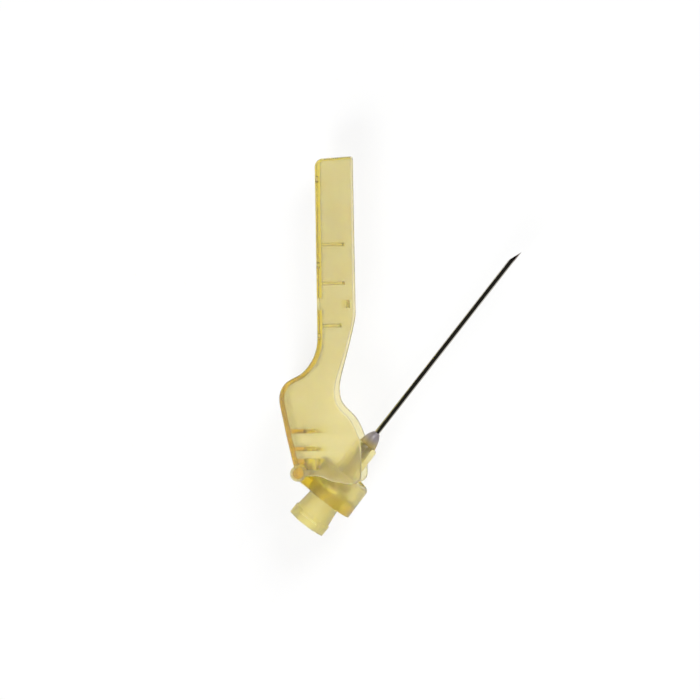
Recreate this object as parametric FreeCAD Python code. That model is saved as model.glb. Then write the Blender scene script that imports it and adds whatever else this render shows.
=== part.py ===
import FreeCAD, Part
import math
import os

# Safety hypodermic needle: a needle tube bonded into a moulded hub, a collar clipped round the hub's neck,
# and a channel-shaped sheath that hinges on the collar and swings over the tube after use.
# Lengths are in millimetres and angles in degrees.
# The origin is the centre of the hub's taper mouth. +X runs along the tube to its point, +Z points up from
# the surface that the part lies on, and +Y is the side that the sheath swings away to.

# Needle tube, 20 gauge
tube_diameter = 0.9
tube_bore = 0.6
tube_seat_x = 10.1
tube_exposed = 38.0
bevel_angle = 20.0
lancet_angle = 27.0
lancet_roll = 38.0

# Taper socket of the hub, 6 % on the diameter
mouth_diameter = 4.27
socket_taper = 0.06
socket_depth = 8.0
funnel_radius = 1.5
funnel_step = 0.3
lumen_radius = 0.35
lumen_length = 0.4

# Outside of the hub
rim_radius = 3.3
rim_length = 1.85
lug_radius = 3.9
lug_length = 1.1
lug_slope = 0.45
lug_angle = 54.0
barrel_rear_radius = 3.1
barrel_front_radius = 2.75
neck_radius = 2.45
bead_height = 0.3
bead_length = 0.35
body_radius = 2.35
body_front_x = 8.8
waist_x = 9.5
nose_root_radius = 1.45
fin_radius = 1.97
fin_thickness = 0.7
fin_corner = 0.5
nose_x = 16.4
nose_tube_radius = 1.05
nose_slope = 0.8

# Adhesive bead
well_radius = 0.75
well_length = 2.9
bead_dome_radius = 1.5
bead_dome_length = 2.6
# Shares of the dome's length, and of its radius there
bead_dome_curve = ((0.35, 0.87), (0.65, 0.7))

# Collar
collar_x = 5.05
collar_length = 5.65
collar_radius = 4.85
collar_draft = 0.1
collar_wall = 0.8
collar_floor = 1.75
knuckle_radius = 1.37
knuckle_width = 2.0
knuckle_inner_z = 1.5
knuckle_mouth = 76.0
knuckle_mouth_turn = 45.0
knuckle_web_depth = 3.3

# Hinge between collar and sheath
hinge_bar_diameter = 1.8
hinge_setback = 1.1
hinge_gap = 0.05
open_angle = 39.0

# Clearances
turn_clearance = 0.05
end_clearance = 0.05
bond_clearance = 0.02
side_clearance = 0.1
knuckle_clearance = 0.12
rib_clearance = 0.25
point_clearance = 0.2

# Sheath, drawn in its closed position over the tube
# The sheath's stations are lengths from the hinge axis, and its heights are from the tube's axis
sheath_wall = 0.7
spine_wall = 0.8
end_wall = 0.43
channel_spine_y = 2.57
channel_edge_y = -3.39
channel_start = 23.5
channel_half_width = 2.5
channel_tip_half_width = 2.0
channel_edge_start = 26.3
end_slope = 0.06
end_corner = 1.25
edge_corner = 0.4
flare_start = 6.0
flare_middle = 15.4
flare_end = 25.0
shoulder_station = 12.9
shoulder_rise = 2.91
shoulder_curve = ((20.6, 0.02), (18.7, 0.12), (17.4, 0.25), (16.1, 0.47), (14.9, 0.82))
back_curve = ((10.3, 2.65), (6.4, 1.85), (0.3, 0.5))
waist_curve = ((23.7, -2.99), (19.7, -1.93), (15.8, -0.75), (13.5, -0.3), (12.2, -0.38), (11.2, -0.73))
skirt_curve = ((9.15, -2.5), (7.8, -3.4), (6.0, -4.15))
skirt_station = 3.5
skirt_y = -4.6
skirt_corner = 1.45
foot_station = -1.9
foot_curve = ((-1.63, -1.15), (-1.28, 0.5), (-0.55, 2.2), (-0.5, 4.4))
foot_corner_y = -3.0
lobe_radius = 1.3
spine_round = 0.3

# Ribs, catch and openings of the sheath
channel_rib_stations = (37.3, 30.95, 24.0)
channel_rib_reach = (-2.4, -2.4, -1.7)
channel_rib_root_width = 0.7
channel_rib_crest_width = 0.34
channel_rib_height = 0.6
channel_rib_run_out = 0.8
base_rib_stations = (6.9, 4.0, 1.45)
base_rib_widths = (0.7, 0.7, 1.9)
base_rib_reach = 1.0
base_rib_height = 0.35
window_station = 27.55
window_length = 1.9
window_width = 3.2
catch_station = 27.55
catch_width = 1.3
catch_root_y = -3.1
catch_root_length = 1.5
catch_tip_y = -1.3
catch_tip_length = 0.85
catch_tip_z = 0.7
mark_stations = (48.0, 33.9, 22.2)
mark_diameter = 1.1
mark_depth = 0.45

# Worked out from the sizes above
tube_radius = tube_diameter / 2
nose_top_x = nose_x + bead_dome_length
point_x = nose_top_x + tube_exposed
hinge_bar_radius = hinge_bar_diameter / 2
hinge_x = collar_x + hinge_setback
hinge_y = collar_radius + hinge_gap + hinge_bar_radius
hinge = FreeCAD.Vector(hinge_x, hinge_y, 0)
base_rib_half_gap = collar_radius + side_clearance
sheath_inner_half = base_rib_half_gap + base_rib_height
sheath_half = sheath_inner_half + sheath_wall
knuckle_web_front = base_rib_stations[-1] - base_rib_widths[-1] / 2 - side_clearance
end_inner_x = point_x + point_clearance
end_outer_x = end_inner_x + end_wall
x_axis = FreeCAD.Vector(1, 0, 0)
y_axis = FreeCAD.Vector(0, 1, 0)
z_axis = FreeCAD.Vector(0, 0, 1)
centre = FreeCAD.Vector(0, 0, 0)
# Solids used as cutters run this far past what they cut
spare = 2.0
# Largest error of a curve that follows another at a wall's thickness
curve_error = 0.002


def point(x, y, z=0.0):
    return FreeCAD.Vector(x, y, z)


def line(start, end):
    return Part.LineSegment(start, end).toShape()


def path(points):
    """Straight edges from point to point."""
    return [line(a, b) for a, b in zip(points, points[1:])]


def arc(start, middle, end):
    return Part.Arc(start, middle, end).toShape()


def corner(start, apex, end):
    """A quarter turn from start to end that rounds the corner at apex."""
    middle = apex + ((start + end) / 2 - apex) * (2 - math.sqrt(2))
    return arc(start, middle, end)


def spline(points, leave=None, arrive=None):
    """A smooth curve through the points, with its end directions where they are given."""
    curve = Part.BSplineCurve()
    if leave and arrive:
        curve.interpolate(Points=points, InitialTangent=leave, FinalTangent=arrive)
    else:
        curve.interpolate(Points=points)
    return curve


def face_of(edges):
    return Part.Face(Part.Wire(edges))


def turned(edges):
    """The solid that a profile of X and radius sweeps round the tube's axis."""
    return face_of(edges).revolve(centre, x_axis, 360)


def upright_cylinder(radius, x, y, low, high):
    return Part.makeCylinder(radius, high - low, point(x, y, low), z_axis)


def block(x0, x1, y0, y1, z0, z1):
    return Part.makeBox(x1 - x0, y1 - y0, z1 - z0, point(x0, y0, z0))


def on_both_sides(shape):
    """A shape on the upper side and its mirror image on the lower side."""
    return [shape, shape.mirror(centre, z_axis)]


def grind(angle, roll):
    """What one pass of the wheel takes off the tube to leave a flat that ends at the point."""
    length = tube_exposed / 2
    cutter = Part.makeBox(length, spare, 2 * spare, point(-length, 0, -spare))
    cutter.rotate(centre, z_axis, -angle)
    cutter.rotate(centre, x_axis, roll)
    cutter.translate(point(point_x, -tube_radius))
    return cutter


def cannula():
    length = point_x - tube_seat_x
    start = point(tube_seat_x, 0)
    tube = Part.makeCylinder(tube_radius, length, start, x_axis)
    tube = tube.cut(Part.makeCylinder(tube_bore / 2, length, start, x_axis))
    passes = [(bevel_angle, 0), (lancet_angle, lancet_roll), (lancet_angle, -lancet_roll)]
    return tube.cut([grind(angle, roll) for angle, roll in passes])


def adhesive():
    well_x = nose_x - well_length
    crown = [
        point(nose_x + along * bead_dome_length, share * bead_dome_radius) for along, share in bead_dome_curve
    ]
    dome = spline([point(nose_x, bead_dome_radius)] + crown + [point(nose_top_x, tube_radius)])
    below = [point(nose_top_x, tube_radius), point(well_x, tube_radius), point(well_x, well_radius)]
    below += [point(nose_x, well_radius), point(nose_x, bead_dome_radius)]
    return turned([dome.toShape()] + path(below))


def socket_radius(x):
    return mouth_diameter / 2 - socket_taper / 2 * x


def hub_cavity_points():
    funnel_end = tube_seat_x - lumen_length
    seat_radius = tube_radius + bond_clearance
    well_x = nose_x - well_length
    return [
        point(nose_x, well_radius),
        point(well_x, well_radius),
        point(well_x, seat_radius),
        point(tube_seat_x, seat_radius),
        point(tube_seat_x, lumen_radius),
        point(funnel_end, lumen_radius),
        point(socket_depth + funnel_step, funnel_radius),
        point(socket_depth, socket_radius(socket_depth)),
        point(0, socket_radius(0)),
    ]


def hub_outside_points():
    neck_rear = collar_x - end_clearance
    neck_front = collar_x + collar_floor + end_clearance
    bead_radius = neck_radius + bead_height
    return [
        point(0, socket_radius(0)),
        point(0, rim_radius),
        point(rim_length, rim_radius),
        point(rim_length, barrel_rear_radius),
        point(neck_rear, barrel_front_radius),
        point(neck_rear, neck_radius),
        point(neck_front, neck_radius),
        point(neck_front, bead_radius),
        point(neck_front + bead_length, bead_radius),
        point(neck_front + 2 * bead_length, body_radius),
        point(body_front_x, body_radius),
        point(waist_x, fin_radius),
        point(waist_x + nose_slope, nose_root_radius),
        point(nose_x, nose_tube_radius),
        point(nose_x, well_radius),
    ]


def lugs():
    """Two lugs on the rear rim that a locking collar turns onto, with a sloped front."""
    mid_wall = (rim_radius + socket_radius(0)) / 2
    profile = [
        point(0, mid_wall),
        point(0, lug_radius),
        point(lug_length, lug_radius),
        point(lug_length + lug_slope, mid_wall),
        point(0, mid_wall),
    ]
    lug = face_of(path(profile)).revolve(centre, x_axis, lug_angle)
    lug.rotate(centre, x_axis, 90 - lug_angle / 2)
    return on_both_sides(lug)


def fin_plate():
    """One plate through the nose, which makes two opposite fins."""
    top = nose_x - fin_corner
    inset = fin_radius - fin_corner
    edges = path([point(top, -fin_radius), point(waist_x - nose_slope, -fin_radius)])
    edges += path([point(waist_x - nose_slope, -fin_radius), point(waist_x - nose_slope, fin_radius)])
    edges += path([point(waist_x - nose_slope, fin_radius), point(top, fin_radius)])
    edges += [corner(point(top, fin_radius), point(nose_x, fin_radius), point(nose_x, inset))]
    edges += path([point(nose_x, inset), point(nose_x, -inset)])
    edges += [corner(point(nose_x, -inset), point(nose_x, -fin_radius), point(top, -fin_radius))]
    plate = face_of(edges).extrude(z_axis * fin_thickness)
    plate.translate(z_axis * (-fin_thickness / 2))
    return plate


def hub():
    outside = hub_outside_points()
    core = turned(path(outside + [point(nose_x, 0), centre, outside[0]]))
    plate = fin_plate()
    crossed = plate.copy()
    crossed.rotate(centre, x_axis, 90)
    body = core.fuse([plate, crossed] + lugs())
    cavity = hub_cavity_points()
    ends = [cavity[-1], centre, point(nose_x, 0), cavity[0]]
    return body.cut(turned(path(cavity) + path(ends))).removeSplitter()


def collar_cup():
    front = collar_x + collar_length
    inner = collar_radius - collar_wall
    floor = collar_x + collar_floor
    hole = neck_radius + turn_clearance
    front_radius = collar_radius - collar_draft
    lip = point(front - collar_wall, front_radius)
    edges = path([point(floor, hole), point(collar_x, hole), point(collar_x, collar_radius), lip])
    edges += [corner(lip, point(front, front_radius), point(front, front_radius - collar_wall))]
    edges += path([point(front, front_radius - collar_wall), point(floor + collar_wall, inner)])
    bend = point(floor, inner - collar_wall)
    edges += [corner(point(floor + collar_wall, inner), point(floor, inner), bend)]
    edges += path([bend, point(floor, hole)])
    return turned(edges)


def knuckle():
    """One C-shaped snap seat for the hinge bar, on a web that stands on the cup."""
    low = knuckle_inner_z
    high = knuckle_inner_z + knuckle_width
    web = block(collar_x, hinge_x + knuckle_web_front, hinge_y - knuckle_web_depth, hinge_y, low, high)
    seat = web.fuse(upright_cylinder(knuckle_radius, hinge_x, hinge_y, low, high))
    seat = seat.cut(upright_cylinder(hinge_bar_radius + turn_clearance, hinge_x, hinge_y, low, high))
    reach = 2 * knuckle_radius
    half = math.radians(knuckle_mouth / 2)
    wedge = face_of(
        path([centre, point(reach, -reach * math.tan(half)), point(reach, reach * math.tan(half)), centre])
    ).extrude(z_axis * knuckle_width)
    wedge.rotate(centre, z_axis, knuckle_mouth_turn)
    wedge.translate(point(hinge_x, hinge_y, low))
    inside = Part.makeCylinder(collar_radius - collar_wall / 2, collar_length, point(collar_x, 0), x_axis)
    return seat.cut([wedge, inside])


def collar():
    return collar_cup().fuse(on_both_sides(knuckle())).removeSplitter()


def spine_points():
    """The spine's curved stretch, from the straight channel over the shoulder to the hinge."""
    rise = hinge_y + shoulder_rise - channel_spine_y
    points = [point(hinge_x + channel_start, channel_spine_y)]
    points += [point(hinge_x + u, channel_spine_y + share * rise) for u, share in shoulder_curve]
    points += [point(hinge_x + shoulder_station, hinge_y + shoulder_rise)]
    points += [point(hinge_x + u, hinge_y + v) for u, v in back_curve]
    return points


def spine_curve():
    points = spine_points()
    return spline(points, -x_axis, points[-1] - points[-2])


def side_outline():
    """The closed sheath's outline seen along the hinge."""
    end_top = end_outer_x - end_slope * channel_spine_y
    end_low = end_outer_x - end_slope * channel_edge_y
    spine = spine_curve()
    start = spine.value(spine.FirstParameter)
    finish = spine.value(spine.LastParameter)
    end_edge = point(end_outer_x - end_slope * (channel_spine_y - end_corner), channel_spine_y - end_corner)
    edge_end = point(end_outer_x - end_slope * (channel_edge_y + edge_corner), channel_edge_y + edge_corner)
    edges = [spine.toShape()]
    top = point(end_top - end_corner, channel_spine_y)
    edges += [line(top, start)]
    edges += [corner(end_edge, point(end_top, channel_spine_y), top)]
    edges += [line(edge_end, end_edge)]
    side = point(end_low - edge_corner, channel_edge_y)
    edges += [corner(side, point(end_low, channel_edge_y), edge_end)]
    edge_start = point(hinge_x + channel_edge_start, channel_edge_y)
    edges += [line(edge_start, side)]
    skirt_start = point(hinge_x + skirt_station, skirt_y)
    curve = [edge_start] + [point(hinge_x + u, y) for u, y in waist_curve + skirt_curve] + [skirt_start]
    edges += [spline(curve, -x_axis, -x_axis).toShape()]
    skirt_end = point(hinge_x + foot_station + skirt_corner, skirt_y)
    foot = point(hinge_x + foot_station, skirt_y + skirt_corner)
    edges += [line(skirt_start, skirt_end)]
    edges += [corner(skirt_end, point(foot.x, skirt_y), foot)]
    rear = [point(hinge_x + foot_station, foot_corner_y)] + [point(hinge_x + u, y) for u, y in foot_curve]
    edges += [line(foot, rear[0])]
    edges += [spline(rear, y_axis, rear[-1] - rear[-2]).toShape()]
    edges += [line(rear[-1], finish)]
    return Part.Wire(Part.sortEdges(edges)[0])


def void_outline():
    """The hollow side of the channel, which stays open on the edge that the tube enters by."""
    spine = spine_curve()
    offset = Part.OffsetCurve(spine, -spine_wall, z_axis).approximateBSpline(curve_error, 40, 5)
    near = offset.value(offset.FirstParameter)
    far = offset.value(offset.LastParameter)
    inner_y = channel_spine_y - spine_wall
    round_radius = end_corner - spine_wall
    end_x = end_inner_x - end_slope * inner_y
    top = point(end_x - round_radius, inner_y)
    side_y = inner_y - round_radius
    side = point(end_inner_x - end_slope * side_y, side_y)
    low_y = skirt_y - spare
    low = point(end_inner_x - end_slope * low_y, low_y)
    rear_x = hinge_x + foot_station - spare
    edges = [offset.toShape(), line(top, near), corner(side, point(end_x, inner_y), top), line(low, side)]
    edges += path([low, point(rear_x, low_y), point(rear_x, far.y), far])
    return Part.Wire(Part.sortEdges(edges)[0])


def plan_outline(inset):
    """The sheath's outline seen from its open side, inset by a wall or by nothing."""
    wide = sheath_half - inset
    start_half = channel_half_width - inset
    end_half = channel_tip_half_width - inset
    end_x = end_outer_x + spare
    flare = [point(hinge_x + flare_start, 0, wide)]
    flare += [point(hinge_x + flare_middle, 0, (wide + start_half) / 2)]
    flare += [point(hinge_x + flare_end, 0, start_half)]
    taper = point(end_x - flare[-1].x, 0, end_half - start_half)
    curve = spline(flare, x_axis, taper.normalize())
    end = point(end_x, 0, end_half)
    rear = point(hinge_x + foot_station - 2 * spare, 0, wide)
    upper = [line(rear, flare[0]), curve.toShape(), line(flare[-1], end), line(end, point(end_x, 0, 0))]
    upper += [line(point(rear.x, 0, 0), rear)]
    lower = [edge.mirror(centre, z_axis) for edge in upper]
    return Part.Wire(Part.sortEdges(upper + lower)[0])


def channel_body(side, inset):
    """The solid that has one outline along the hinge and another from the open side."""
    half = sheath_half + spare
    prism = Part.Face(side).extrude(z_axis * (2 * half))
    prism.translate(z_axis * -half)
    height = 2 * (hinge_y + shoulder_rise + spare)
    plan = Part.Face(plan_outline(inset)).extrude(y_axis * height)
    plan.translate(y_axis * (-height / 2))
    return prism.common(plan)


def inner_half_width(station):
    """Half the clear width of the straight channel at a station."""
    share = (station - flare_end) / (end_outer_x + spare - hinge_x - flare_end)
    outer = channel_half_width + share * (channel_tip_half_width - channel_half_width)
    return outer - sheath_wall


def channel_rib(station, reach_y):
    """A low rib on the wall of the channel, from the spine to a tapered end."""
    inner = inner_half_width(station)
    root = inner + sheath_wall / 2
    crest = inner - channel_rib_height
    top = channel_spine_y - spine_wall / 2
    outline = [(top, root), (top, crest), (reach_y + channel_rib_run_out, crest)]
    outline += [(reach_y, root), (top, root)]
    x = hinge_x + station
    half_root = channel_rib_root_width / 2
    half_crest = channel_rib_crest_width / 2
    profile = face_of(path([point(x - half_root, y, z) for y, z in outline]))
    rib = profile.extrude(x_axis * channel_rib_root_width)
    section = [(x - half_root, root), (x - half_crest, crest), (x + half_crest, crest)]
    section += [(x + half_root, root), (x - half_root, root)]
    flanks = face_of(path([point(u, reach_y, z) for u, z in section])).extrude(y_axis * (top - reach_y))
    return on_both_sides(rib.common(flanks))


def base_rib(station, width):
    """A rib down both walls of the wide base and across, round where the collar lies in the closed sheath."""
    x = hinge_x + station - width / 2
    top = hinge_y + shoulder_rise
    rib = block(x, x + width, base_rib_reach, top, -sheath_half, sheath_half)
    arch = Part.makeCylinder(collar_radius + rib_clearance, width, point(x, 0), x_axis)
    between = block(x, x + width, -top, top, -base_rib_half_gap, base_rib_half_gap)
    return rib.cut(arch.common(between))


def catch():
    """The finger that holds the tube in the channel. It stops short of the tube's path."""
    inner = inner_half_width(catch_station)
    root = inner + sheath_wall / 2
    outline = [
        (catch_root_y, root),
        (catch_tip_y - catch_tip_length, catch_tip_z),
        (catch_tip_y, catch_tip_z),
        (catch_root_y + catch_root_length, root),
        (catch_root_y, root),
    ]
    x = hinge_x + catch_station - catch_width / 2
    return face_of(path([point(x, y, z) for y, z in outline])).extrude(x_axis * catch_width)


def spine_openings():
    """The window opposite the catch, and the round recesses along the spine."""
    x = hinge_x + window_station
    half = window_width / 2
    low = channel_spine_y - spine_wall - spare / 2
    window = block(x - window_length / 2, x + window_length / 2, low, channel_spine_y + spare, -half, half)
    marks = []
    for station in mark_stations:
        floor = point(hinge_x + station, channel_spine_y - mark_depth)
        marks.append(Part.makeCylinder(mark_diameter / 2, spare, floor, y_axis))
    return [window] + marks


def knuckle_notch():
    low = knuckle_inner_z - side_clearance
    high = knuckle_inner_z + knuckle_width + side_clearance
    return on_both_sides(upright_cylinder(knuckle_radius + knuckle_clearance, hinge_x, hinge_y, low, high))


def spine_edges(solid):
    """The two long edges of the spine, from the hinge to the closed end."""
    found = []
    for edge in solid.Edges:
        start = edge.Vertexes[0].Point
        end = edge.Vertexes[-1].Point
        above = min(start.y, end.y) > channel_spine_y - end_corner - spine_wall / 2
        lengthwise = abs(start.x - end.x) > sheath_wall / 2 and start.z * end.z > 0
        if above and lengthwise and min(start.x, end.x) > hinge_x:
            found.append(edge)
    return found


def closed_sheath():
    outer = channel_body(side_outline(), 0).Solids[0]
    outer = outer.makeFillet(spine_round, spine_edges(outer))
    lobe = upright_cylinder(lobe_radius, hinge_x, hinge_y, sheath_inner_half, sheath_half)
    shell = outer.cut(channel_body(void_outline(), sheath_wall))
    ribs = [base_rib(station, width) for station, width in zip(base_rib_stations, base_rib_widths)]
    for station, reach_y in zip(channel_rib_stations, channel_rib_reach):
        ribs += channel_rib(station, reach_y)
    inside = [rib.common(outer) for rib in ribs]
    shell = shell.fuse(inside + [catch()])
    shell = shell.cut(knuckle_notch() + spine_openings())
    bar = upright_cylinder(hinge_bar_radius, hinge_x, hinge_y, -sheath_half, sheath_half)
    return shell.fuse(on_both_sides(lobe) + [bar]).removeSplitter()


def sheath():
    swung = closed_sheath()
    swung.rotate(hinge, z_axis, open_angle)
    return swung


pieces = {"cannula": cannula, "adhesive": adhesive, "hub": hub, "collar": collar, "sheath": sheath}

os.makedirs("parts", exist_ok=True)
for name, build in pieces.items():
    solid = build()
    if solid.ShapeType != "Solid" and len(solid.Solids) == 1:
        solid = solid.Solids[0]
    print(name, solid.ShapeType, solid.isValid(), round(solid.Volume, 2), solid.BoundBox)
    solid.exportStep(f"parts/{name}.step")
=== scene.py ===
import logging
import math
from dataclasses import dataclass, field
from enum import Enum

import bpy
from mathutils import Matrix, Vector


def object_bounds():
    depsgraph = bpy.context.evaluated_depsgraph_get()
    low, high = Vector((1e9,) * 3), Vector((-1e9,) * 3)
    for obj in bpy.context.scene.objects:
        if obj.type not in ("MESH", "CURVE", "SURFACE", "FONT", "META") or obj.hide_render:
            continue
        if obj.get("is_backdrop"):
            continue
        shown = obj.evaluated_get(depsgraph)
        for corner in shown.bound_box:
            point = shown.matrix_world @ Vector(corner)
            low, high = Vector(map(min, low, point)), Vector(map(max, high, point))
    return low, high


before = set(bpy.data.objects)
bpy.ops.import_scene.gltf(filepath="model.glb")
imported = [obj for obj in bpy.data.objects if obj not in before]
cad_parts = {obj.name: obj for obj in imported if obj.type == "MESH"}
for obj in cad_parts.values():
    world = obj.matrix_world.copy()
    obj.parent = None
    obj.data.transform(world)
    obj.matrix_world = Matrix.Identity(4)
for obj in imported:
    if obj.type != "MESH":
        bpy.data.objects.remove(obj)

log = logging.getLogger("safety_needle")

MILLIMETRE = 0.001

Number = float | int
Colour = tuple[float, float, float, float]
Triple = tuple[float, float, float]


class Output(Enum):
    """Which of a Mix node's outputs and inputs hold a colour."""

    FIRST = 6
    SECOND = 7
    RESULT = 2


class Signal:
    """One output of a shader node, with arithmetic that adds the Math nodes it needs."""

    def __init__(self, sheet: "Sheet", socket: bpy.types.NodeSocket) -> None:
        """Wraps a socket.

        Args:
            sheet: The node tree that the socket belongs to.
            socket: The output that this signal carries on.
        """
        self.sheet = sheet
        self.socket = socket

    def _with(self, operation: str, first: "Signal | Number", second: "Signal | Number") -> "Signal":
        """Joins two values by one Math node."""
        return self.sheet.signal("ShaderNodeMath", {"operation": operation}, {0: first, 1: second})

    def __add__(self, other: "Signal | Number") -> "Signal":
        """This signal plus another value."""
        return self._with("ADD", self, other)

    def __radd__(self, other: Number) -> "Signal":
        """A number plus this signal."""
        return self._with("ADD", other, self)

    def __mul__(self, other: "Signal | Number") -> "Signal":
        """This signal times another value."""
        return self._with("MULTIPLY", self, other)

    def __rmul__(self, other: Number) -> "Signal":
        """A number times this signal."""
        return self._with("MULTIPLY", other, self)

    def at_least(self, other: "Signal | Number") -> "Signal":
        """The larger of this signal and another value."""
        return self._with("MAXIMUM", self, other)

    def stepped(self, low: float, high: float) -> "Signal":
        """Rises smoothly from 0 at low to 1 at high.

        Args:
            low: The value that becomes 0.
            high: The value that becomes 1.

        Returns:
            A signal from 0 to 1.
        """
        settings = {"interpolation_type": "SMOOTHSTEP"}
        return self.sheet.signal(
            "ShaderNodeMapRange", settings, {"Value": self, "From Min": low, "From Max": high}
        )


class Sheet:
    """A node tree that a finish is drawn on."""

    def __init__(self, tree: bpy.types.NodeTree) -> None:
        """Empties the tree and keeps it.

        Args:
            tree: The material's or the world's node tree.
        """
        self.tree = tree
        tree.nodes.clear()

    def node(self, kind: str, settings: dict | None = None, inputs: dict | None = None) -> bpy.types.Node:
        """Adds one node.

        Args:
            kind: Blender's name of the node's type.
            settings: Properties of the node, such as a Math node's operation, set first.
            inputs: Values, signals or sockets for the node's inputs, by name or number.

        Returns:
            The new node.
        """
        made = self.tree.nodes.new(kind)
        for name, value in (settings or {}).items():
            setattr(made, name, value)
        for name, value in (inputs or {}).items():
            if isinstance(value, Signal):
                self.tree.links.new(value.socket, made.inputs[name])
            elif isinstance(value, bpy.types.NodeSocket):
                self.tree.links.new(value, made.inputs[name])
            else:
                made.inputs[name].default_value = value
        return made

    def signal(
        self, kind: str, settings: dict | None = None, inputs: dict | None = None, output: str | int = 0
    ) -> Signal:
        """Adds one node and returns one of its outputs.

        Args:
            kind: Blender's name of the node's type.
            settings: Properties of the node.
            inputs: Values or links of the node's inputs.
            output: The output's name or number.

        Returns:
            That output.
        """
        return Signal(self, self.node(kind, settings, inputs).outputs[output])

    def mix(self, factor: Signal, first: Colour | Signal, second: Colour | Signal) -> Signal:
        """A colour between two colours."""
        inputs = {0: factor, Output.FIRST.value: first, Output.SECOND.value: second}
        return self.signal("ShaderNodeMix", {"data_type": "RGBA"}, inputs, Output.RESULT.value)

    def times(self, first: Colour | Signal, second: Colour | Signal) -> Signal:
        """One colour tinted by another.

        Args:
            first: The colour that is tinted.
            second: The tint.

        Returns:
            The two multiplied.
        """
        inputs = {0: 1.0, Output.FIRST.value: first, Output.SECOND.value: second}
        settings = {"data_type": "RGBA", "blend_type": "MULTIPLY"}
        return self.signal("ShaderNodeMix", settings, inputs, Output.RESULT.value)

    def places(self) -> Signal:
        """The surface point in the piece's own frame, in metres."""
        return self.signal("ShaderNodeTexCoord", None, None, "Object")

    def noise(self, scale: float, detail: float = 2.0, stretch: Triple = (1.0, 1.0, 1.0)) -> Signal:
        """Noise from about 0 to 1.

        Args:
            scale: Blotches to the metre.
            detail: Octaves of finer noise.
            stretch: How much denser the noise runs along each axis.

        Returns:
            The noise as a number.
        """
        where = self.signal(
            "ShaderNodeVectorMath", {"operation": "MULTIPLY"}, {0: self.places(), 1: stretch}
        )
        inputs = {"Vector": where, "Scale": scale, "Detail": detail}
        return self.signal("ShaderNodeTexNoise", None, inputs, "Fac")

    def bump(self, height: Signal, depth: float, strength: float) -> Signal:
        """A bumped normal from a height signal.

        Args:
            height: The relief, from 0 to 1.
            depth: The relief's real height, in metres.
            strength: The share of it that shows.

        Returns:
            The normal.
        """
        inputs = {"Height": height, "Distance": depth, "Strength": strength}
        return self.signal("ShaderNodeBump", None, inputs, "Normal")


def new_material(name: str) -> tuple[bpy.types.Material, Sheet]:
    """Makes an empty material.

    Args:
        name: The material's name.

    Returns:
        The material and the sheet of its nodes.
    """
    material = bpy.data.materials.new(name)
    material.use_nodes = True
    return material, Sheet(material.node_tree)


@dataclass(frozen=True)
class Drift:
    """A slow change of colour from one place to another along a direction."""

    axis: Triple
    start: float
    stop: float

    def share(self, sheet: Sheet) -> Signal:
        """How far the change has gone at each point of the surface.

        Args:
            sheet: The sheet that the finish is drawn on.

        Returns:
            A signal, 0 before the start and 1 past the stop.
        """
        inputs = {0: sheet.places(), 1: self.axis}
        along = sheet.signal("ShaderNodeVectorMath", {"operation": "DOT_PRODUCT"}, inputs, "Value")
        return along.stepped(self.start, self.stop)


@dataclass(frozen=True)
class AmberPlastic:
    """Clear moulded plastic, coloured amber all through, with a faint satin skin."""

    name: str
    tint: Colour = (0.945, 0.915, 0.85, 1.0)
    tint_far: Colour = (0.875, 0.845, 0.79, 1.0)
    drift: Drift = Drift((0.7879, 0.6157, 0.0), 12.0 * MILLIMETRE, 50.0 * MILLIMETRE)
    blotch_shade: Colour = (0.985, 0.965, 0.92, 1.0)
    depth_colour: Colour = (0.955, 0.885, 0.03, 1.0)
    depth_density: float = 600.0
    clear: float = 0.9
    scatter_reach: Triple = (1.0, 0.85, 0.35)
    scatter_scale: float = 1.5 * MILLIMETRE
    haze: float = 1.0
    refraction: float = 1.49
    roughness: float = 0.2
    roughness_swing: float = 0.06
    blotches: float = 260.0
    blotch_detail: float = 3.0
    blotch_range: tuple[float, float] = (0.35, 0.7)
    grain: float = 5200.0
    grain_detail: float = 2.0
    grain_depth: float = 0.004 * MILLIMETRE
    flow: float = 420.0
    flow_detail: float = 1.0
    flow_stretch: Triple = (1.0, 1.0, 0.4)
    flow_depth: float = 0.02 * MILLIMETRE
    relief: float = 1.0

    def make(self) -> bpy.types.Material:
        """Builds the material.

        Returns:
            The plastic, with its colour in the depth of the wall and a fine skin on it.
        """
        material, sheet = new_material(self.name)
        blotch = sheet.noise(self.blotches, self.blotch_detail).stepped(*self.blotch_range)
        tint = sheet.mix(self.drift.share(sheet), self.tint, self.tint_far)
        tint = sheet.mix(blotch, tint, sheet.times(tint, self.blotch_shade))
        grain = sheet.noise(self.grain, self.grain_detail)
        flow = sheet.noise(self.flow, self.flow_detail, self.flow_stretch)
        height = grain * (self.grain_depth / self.flow_depth) + flow
        skin = {
            "Base Color": tint,
            "Roughness": self.roughness + self.roughness_swing * blotch,
            "IOR": self.refraction,
            "Transmission Weight": self.clear,
            "Subsurface Weight": self.haze,
            "Subsurface Radius": self.scatter_reach,
            "Subsurface Scale": self.scatter_scale,
            "Normal": sheet.bump(height, self.flow_depth, self.relief),
        }
        surface = sheet.node("ShaderNodeBsdfPrincipled", None, skin)
        depth = sheet.node(
            "ShaderNodeVolumeAbsorption", None, {"Color": self.depth_colour, "Density": self.depth_density}
        )
        sheet.node(
            "ShaderNodeOutputMaterial",
            None,
            {"Surface": surface.outputs["BSDF"], "Volume": depth.outputs["Volume"]},
        )
        return material


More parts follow.
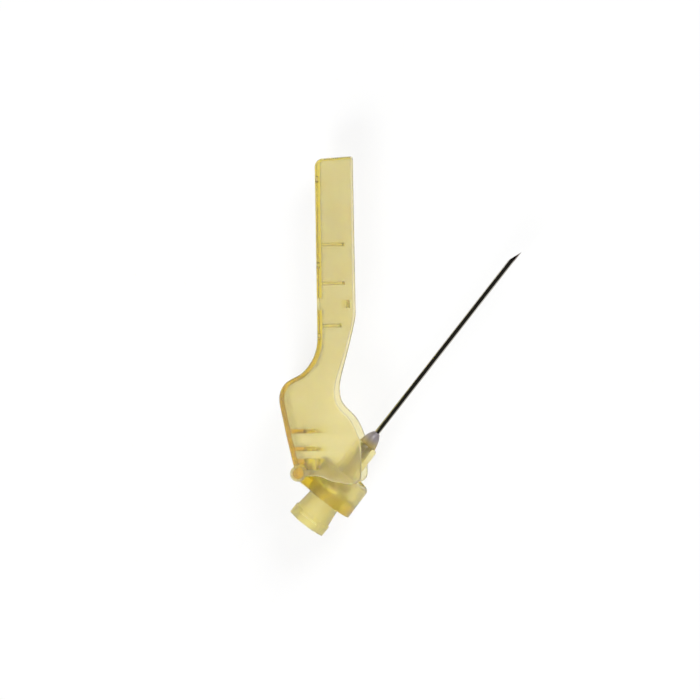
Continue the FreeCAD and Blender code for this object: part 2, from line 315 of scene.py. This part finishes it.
@dataclass(frozen=True)
class ClearAdhesive:
    """Cured adhesive, hazy lilac-grey, and browner where it stands in the hub."""

    name: str = "clear_adhesive"
    tint: Colour = (0.47, 0.43, 0.49, 1.0)
    tint_root: Colour = (0.62, 0.5, 0.2, 1.0)
    drift: Drift = Drift((1.0, 0.0, 0.0), 16.5 * MILLIMETRE, 18.0 * MILLIMETRE)
    roughness: float = 0.34
    roughness_swing: float = 0.08
    refraction: float = 1.45
    clear: float = 0.66
    waves: float = 900.0
    wave_detail: float = 2.0
    wave_depth: float = 0.03 * MILLIMETRE
    relief: float = 0.8

    def make(self) -> bpy.types.Material:
        """Builds the material.

        Returns:
            The adhesive, with the soft waves of a bead that set in place.
        """
        material, sheet = new_material(self.name)
        waves = sheet.noise(self.waves, self.wave_detail)
        skin = {
            "Base Color": sheet.mix(self.drift.share(sheet), self.tint_root, self.tint),
            "Roughness": self.roughness + self.roughness_swing * waves,
            "IOR": self.refraction,
            "Transmission Weight": self.clear,
            "Normal": sheet.bump(waves, self.wave_depth, self.relief),
        }
        surface = sheet.node("ShaderNodeBsdfPrincipled", None, skin)
        sheet.node("ShaderNodeOutputMaterial", None, {"Surface": surface.outputs["BSDF"]})
        return material


@dataclass(frozen=True)
class DrawnSteel:
    """Stainless tube, drawn and polished along its length, with a ground bevel."""

    name: str = "drawn_steel"
    colour: Colour = (0.66, 0.64, 0.59, 1.0)
    colour_streak: Colour = (0.5, 0.48, 0.43, 1.0)
    roughness: float = 0.12
    roughness_swing: float = 0.08
    streaks: float = 9000.0
    streak_detail: float = 3.0
    streak_range: tuple[float, float] = (0.35, 0.65)
    streak_stretch: Triple = (0.02, 1.0, 1.0)
    streak_depth: float = 0.0015 * MILLIMETRE
    relief: float = 0.6
    # Darker colour towards the point, blended in from 54.4 mm to 55.6 mm along X.
    point_colour: Colour = (0.26, 0.21, 0.19, 1.0)
    ground: Drift = Drift((1.0, 0.0, 0.0), 54.4 * MILLIMETRE, 55.6 * MILLIMETRE)

    def make(self) -> bpy.types.Material:
        """Builds the material.

        Returns:
            The steel, with fine draw lines along X and a darker colour towards the point.
        """
        material, sheet = new_material(self.name)
        streak = sheet.noise(self.streaks, self.streak_detail, self.streak_stretch)
        drawn = sheet.mix(streak.stepped(*self.streak_range), self.colour, self.colour_streak)
        skin = {
            "Base Color": sheet.mix(self.ground.share(sheet), drawn, self.point_colour),
            "Metallic": 1.0,
            "Roughness": self.roughness + self.roughness_swing * streak,
            "Normal": sheet.bump(streak, self.streak_depth, self.relief),
        }
        surface = sheet.node("ShaderNodeBsdfPrincipled", None, skin)
        sheet.node("ShaderNodeOutputMaterial", None, {"Surface": surface.outputs["BSDF"]})
        return material


@dataclass
class MouldedPiece:
    """A moulded piece that keeps the frame's shape and gets broken edges and a finish."""

    node: str
    finish: AmberPlastic | ClearAdhesive | DrawnSteel
    edge: float = 0.05 * MILLIMETRE
    edge_angle: float = 35.0
    flat_angle: float = 0.6
    merge: float = 1e-7
    steps: int = 2

    def dress(self) -> bpy.types.Object:
        """Gives the frame's node its broken edges and its material.

        Returns:
            The node's object.
        """
        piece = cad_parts[self.node]
        weld = piece.modifiers.new("joined_corners", "WELD")
        weld.merge_threshold = self.merge
        flats = piece.modifiers.new("whole_flats", "DECIMATE")
        flats.decimate_type = "DISSOLVE"
        flats.angle_limit = math.radians(self.flat_angle)
        edges = piece.modifiers.new("broken_edges", "BEVEL")
        edges.width = self.edge
        edges.segments = self.steps
        edges.limit_method = "ANGLE"
        edges.angle_limit = math.radians(self.edge_angle)
        shading = piece.modifiers.new("even_shading", "WEIGHTED_NORMAL")
        shading.keep_sharp = False
        piece.data.materials.clear()
        piece.data.materials.append(self.finish.make())
        return piece


@dataclass
class Viewpoint:
    """The camera, high above the part and a little off the vertical."""

    view_width: float = 114.75 * MILLIMETRE
    lens: float = 600.0
    sensor: float = 36.0
    aim: Triple = (26.9 * MILLIMETRE, 11.86 * MILLIMETRE, 0.0)
    lean: tuple[float, float] = (0.0827, -0.0554)
    axis_turn: float = 38.0
    clip_share: float = 100.0

    def place(self) -> bpy.types.Object:
        """Makes the camera.

        Returns:
            The camera, which the scene then uses.
        """
        data = bpy.data.cameras.new("camera")
        data.lens = self.lens
        data.sensor_width = self.sensor
        distance = self.view_width * self.lens / self.sensor
        data.clip_start = distance / self.clip_share
        data.clip_end = distance * self.clip_share
        back = Vector((*self.lean, 1.0)).normalized()
        turn = math.radians(self.axis_turn)
        level = Vector((math.cos(turn), math.sin(turn), 0.0))
        up = (level - back * level.dot(back)).normalized()
        right = up.cross(back)
        camera = bpy.data.objects.new("camera", data)
        bpy.context.scene.collection.objects.link(camera)
        place = Vector(self.aim) + back * distance
        camera.matrix_world = Matrix.Translation(place) @ Matrix((right, up, back)).transposed().to_4x4()
        bpy.context.scene.camera = camera
        return camera


@dataclass
class Softbox:
    """One soft lamp that faces the part."""

    name: str
    place: Triple
    size: tuple[float, float]
    power: float

    def hang(self, aim: Vector) -> None:
        """Makes the lamp.

        Args:
            aim: The point that the lamp faces.
        """
        data = bpy.data.lights.new(self.name, "AREA")
        data.shape = "RECTANGLE"
        data.size, data.size_y = self.size
        data.energy = self.power
        lamp = bpy.data.objects.new(self.name, data)
        bpy.context.scene.collection.objects.link(lamp)
        lamp.location = self.place
        lamp.rotation_mode = "QUATERNION"
        lamp.rotation_quaternion = (aim - Vector(self.place)).to_track_quat("-Z", "Y")


@dataclass
class Studio:
    """A white table under a dome that is dark overhead, with two soft lamps."""

    floor_reach: float = 3.0
    floor_glow: float = 0.85
    floor_colour: Colour = (0.92, 0.92, 0.915, 1.0)
    white: Colour = (1.0, 1.0, 1.0, 1.0)
    strength: float = 1.0
    zenith: Colour = (0.015, 0.014, 0.01, 1.0)
    horizon_height: float = 0.02
    zenith_height: float = 0.26
    lamps: tuple[Softbox, ...] = (
        Softbox("rear_lamp", (-0.75, -0.15, 0.75), (0.5, 0.5), 10.5),
        Softbox("front_lamp", (0.85, 0.1, 0.75), (0.5, 0.5), 10.5),
    )

    def seen(self, sheet: Sheet) -> Signal:
        """Picks out the rays that show a surface in the picture.

        Args:
            sheet: The sheet that needs it.

        Returns:
            1 for what is seen straight, in a reflection or through the plastic.
        """
        rays = sheet.node("ShaderNodeLightPath")
        camera = Signal(sheet, rays.outputs["Is Camera Ray"])
        glossy = Signal(sheet, rays.outputs["Is Glossy Ray"])
        through = Signal(sheet, rays.outputs["Is Transmission Ray"])
        return camera.at_least(glossy).at_least(through)

    def lay_floor(self, level: float) -> bpy.types.Object:
        """Makes the table.

        Args:
            level: The height that the part lies at.

        Returns:
            The table.
        """
        reach = self.floor_reach
        mesh = bpy.data.meshes.new("table")
        rim = [(-reach, -reach, level), (reach, -reach, level), (reach, reach, level), (-reach, reach, level)]
        mesh.from_pydata(rim, [], [range(len(rim))])
        floor = bpy.data.objects.new("table", mesh)
        bpy.context.scene.collection.objects.link(floor)
        material, sheet = new_material("white_table")
        matt = sheet.node("ShaderNodeBsdfDiffuse", None, {"Color": self.floor_colour})
        glow = sheet.node("ShaderNodeEmission", None, {"Color": self.white, "Strength": self.strength})
        share = self.seen(sheet) * self.floor_glow
        both = sheet.node(
            "ShaderNodeMixShader", None, {0: share, 1: matt.outputs["BSDF"], 2: glow.outputs["Emission"]}
        )
        sheet.node("ShaderNodeOutputMaterial", None, {"Surface": both.outputs["Shader"]})
        mesh.materials.append(material)
        floor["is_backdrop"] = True
        return floor

    def raise_dome(self) -> None:
        """Makes the world: white at the horizon, dark overhead, white wherever the camera looks."""
        world = bpy.data.worlds.new("dome")
        bpy.context.scene.world = world
        world.use_nodes = True
        sheet = Sheet(world.node_tree)
        direction = sheet.signal("ShaderNodeTexCoord", None, None, "Generated")
        height = sheet.signal("ShaderNodeSeparateXYZ", None, {"Vector": direction}, "Z")
        upward = height.stepped(self.horizon_height, self.zenith_height)
        dome = sheet.mix(upward, self.white, self.zenith)
        rays = sheet.node("ShaderNodeLightPath")
        camera = Signal(sheet, rays.outputs["Is Camera Ray"])
        through = Signal(sheet, rays.outputs["Is Transmission Ray"])
        colour = sheet.mix(camera.at_least(through), dome, self.white)
        sky = sheet.node("ShaderNodeBackground", None, {"Color": colour, "Strength": self.strength})
        sheet.node("ShaderNodeOutputWorld", None, {"Surface": sky.outputs["Background"]})

    def build(self, level: float, aim: Vector) -> None:
        """Sets up table, dome, lamps and plain colours.

        Args:
            level: The height that the part lies at.
            aim: The middle of the part.
        """
        self.lay_floor(level)
        self.raise_dome()
        for lamp in self.lamps:
            lamp.hang(aim)
        bpy.context.scene.view_settings.view_transform = "Standard"


@dataclass
class SafetyNeedle:
    """The whole part, dressed piece by piece."""

    plastic_hub: AmberPlastic = AmberPlastic(
        "amber_hub",
        tint=(0.965, 0.93, 0.84, 1.0),
        tint_far=(0.985, 0.93, 0.74, 1.0),
        drift=Drift((1.0, 0.0, 0.0), 4.0 * MILLIMETRE, 13.0 * MILLIMETRE),
        depth_density=560.0,
        clear=0.86,
        roughness=0.3,
        grain_depth=0.0015 * MILLIMETRE,
    )
    plastic_collar: AmberPlastic = AmberPlastic(
        "amber_collar",
        tint=(0.99, 0.93, 0.64, 1.0),
        tint_far=(0.985, 0.95, 0.88, 1.0),
        drift=Drift((1.0, 0.0, 0.0), 4.0 * MILLIMETRE, 9.5 * MILLIMETRE),
        depth_density=600.0,
        clear=0.92,
        roughness=0.28,
    )
    plastic_sheath: AmberPlastic = AmberPlastic("amber_sheath")
    steel: DrawnSteel = DrawnSteel()
    glue: ClearAdhesive = ClearAdhesive()
    pieces: list[bpy.types.Object] = field(default_factory=list)

    def build(self) -> None:
        """Dresses every piece and reports it."""
        for piece in (
            MouldedPiece("hub", self.plastic_hub),
            MouldedPiece("collar", self.plastic_collar),
            MouldedPiece("sheath", self.plastic_sheath),
            MouldedPiece("adhesive", self.glue),
            MouldedPiece("cannula", self.steel, edge=0.01 * MILLIMETRE),
        ):
            self.pieces.append(piece.dress())
            log.info("dressed %s", piece.node)


def main() -> None:
    logging.basicConfig(level=logging.INFO, format="%(name)s: %(message)s")
    cad_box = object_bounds()
    low, high = cad_box
    Studio().build(low.z, (low + high) / 2)
    Viewpoint().place()
    SafetyNeedle().build()


if __name__ == "__main__":
    main()
